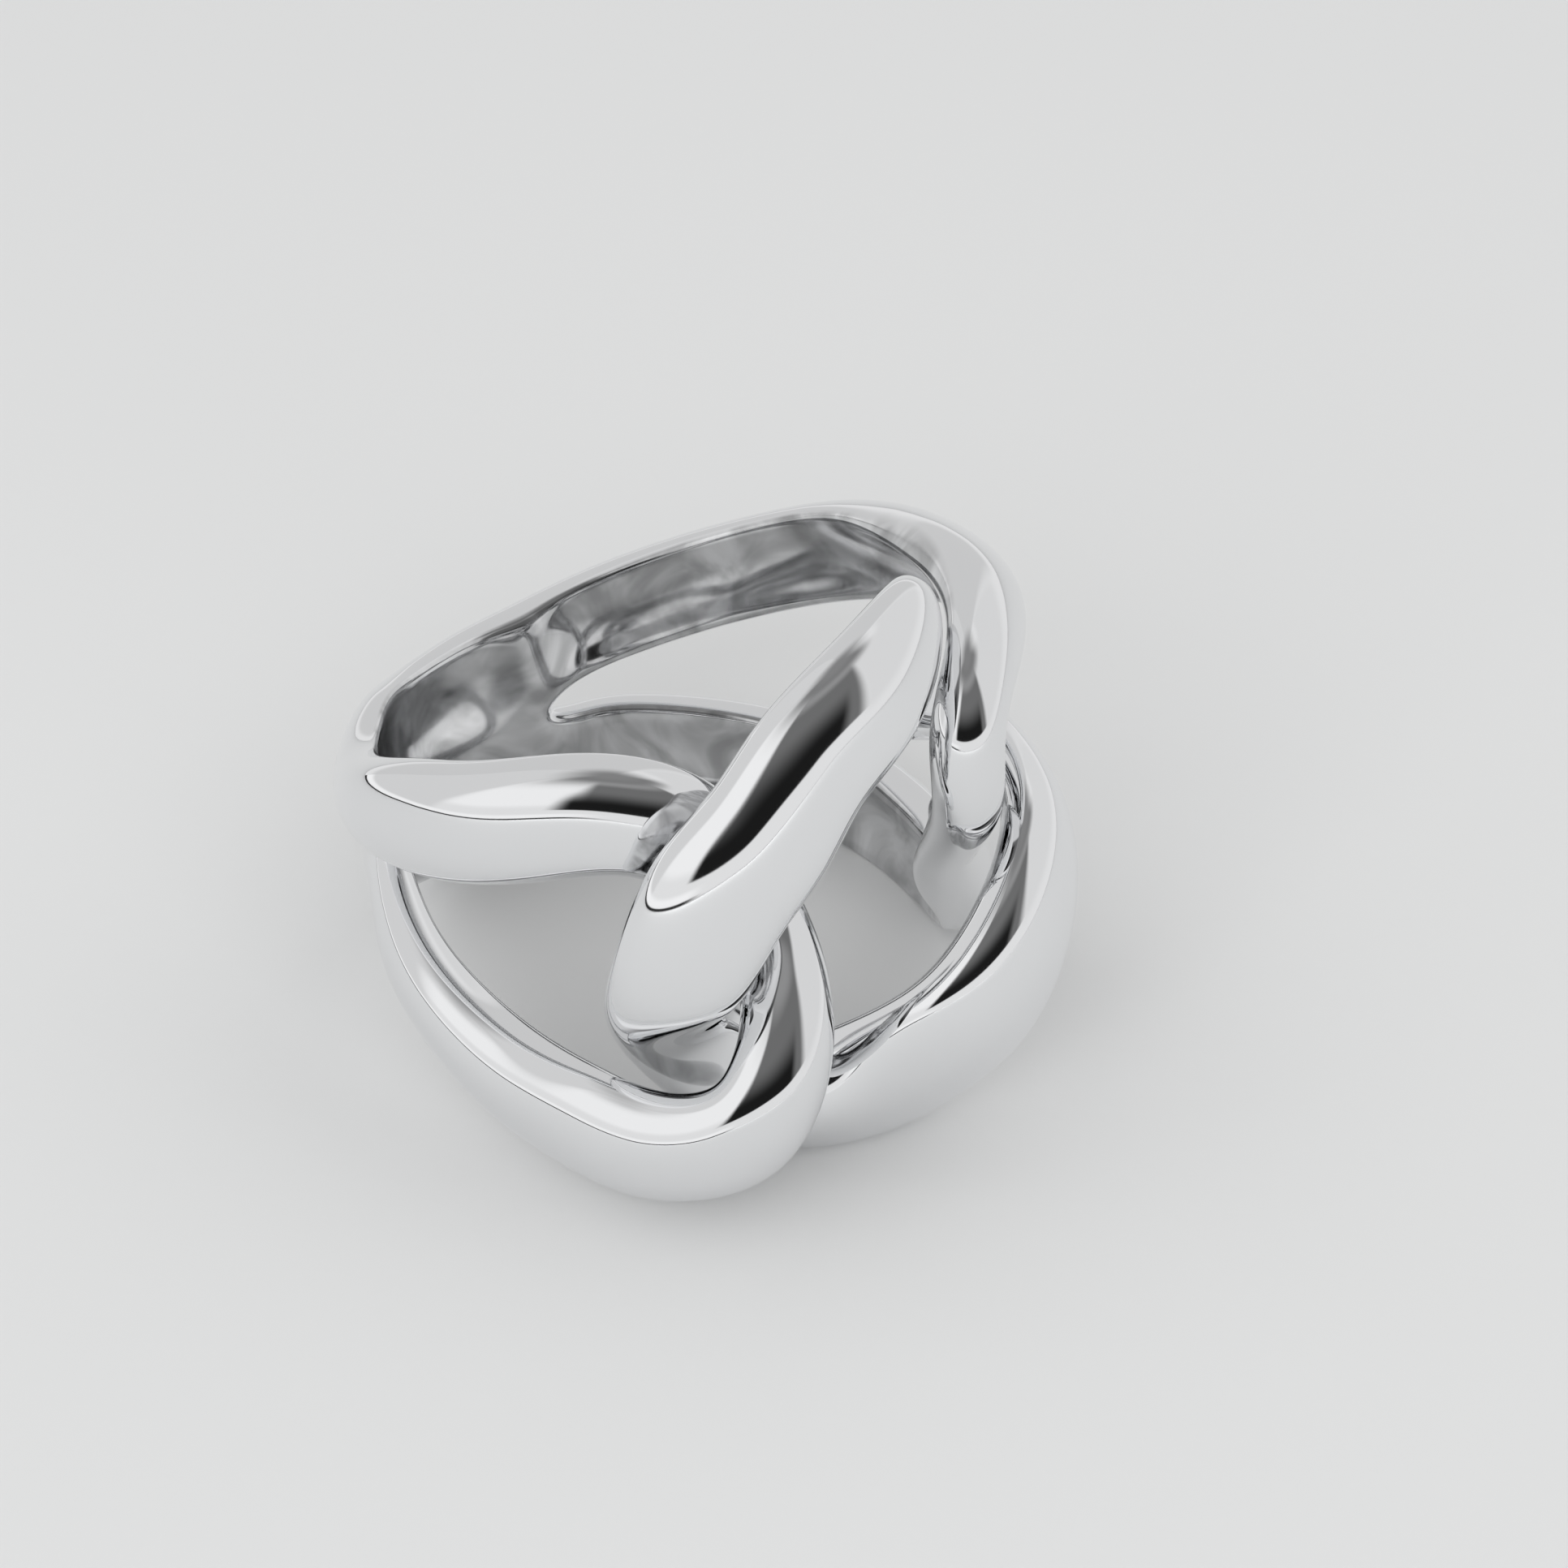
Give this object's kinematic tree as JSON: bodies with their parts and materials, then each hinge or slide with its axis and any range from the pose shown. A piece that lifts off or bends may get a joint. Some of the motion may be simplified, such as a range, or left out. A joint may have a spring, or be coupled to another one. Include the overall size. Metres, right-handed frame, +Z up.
{
  "type": "interlocked link ring puzzle",
  "caption": "Finger-ring puzzle: a long polished band wrapped round the finger, its two hooked ends held by a second closed link that rocks between them.",
  "frame": {"origin": "middle of the footprint, on the surface the ring rests on", "axes": "+Z up with the ring resting; the connecting link faces -Y; the finger bore leans 8 degrees from +Z toward +Y"},
  "size_m": [0.0226, 0.0258, 0.0189],
  "materials": {
    "long_link": "mirror polished white metal",
    "connecting_link": "mirror polished white metal"
  },
  "bodies": {
    "long_link": {"long_link": "long_link"},
    "connecting_link": {"connecting_link": "connecting_link"}
  },
  "joints": [
    {"name": "connecting_link_rock", "type": "hinge", "parent": "long_link", "child": "connecting_link", "pos_m": [0.0036, -0.0096, 0.0106], "axis": [0.848, -0.349, 0.399], "range_deg": [-14, 13]}
  ]
}
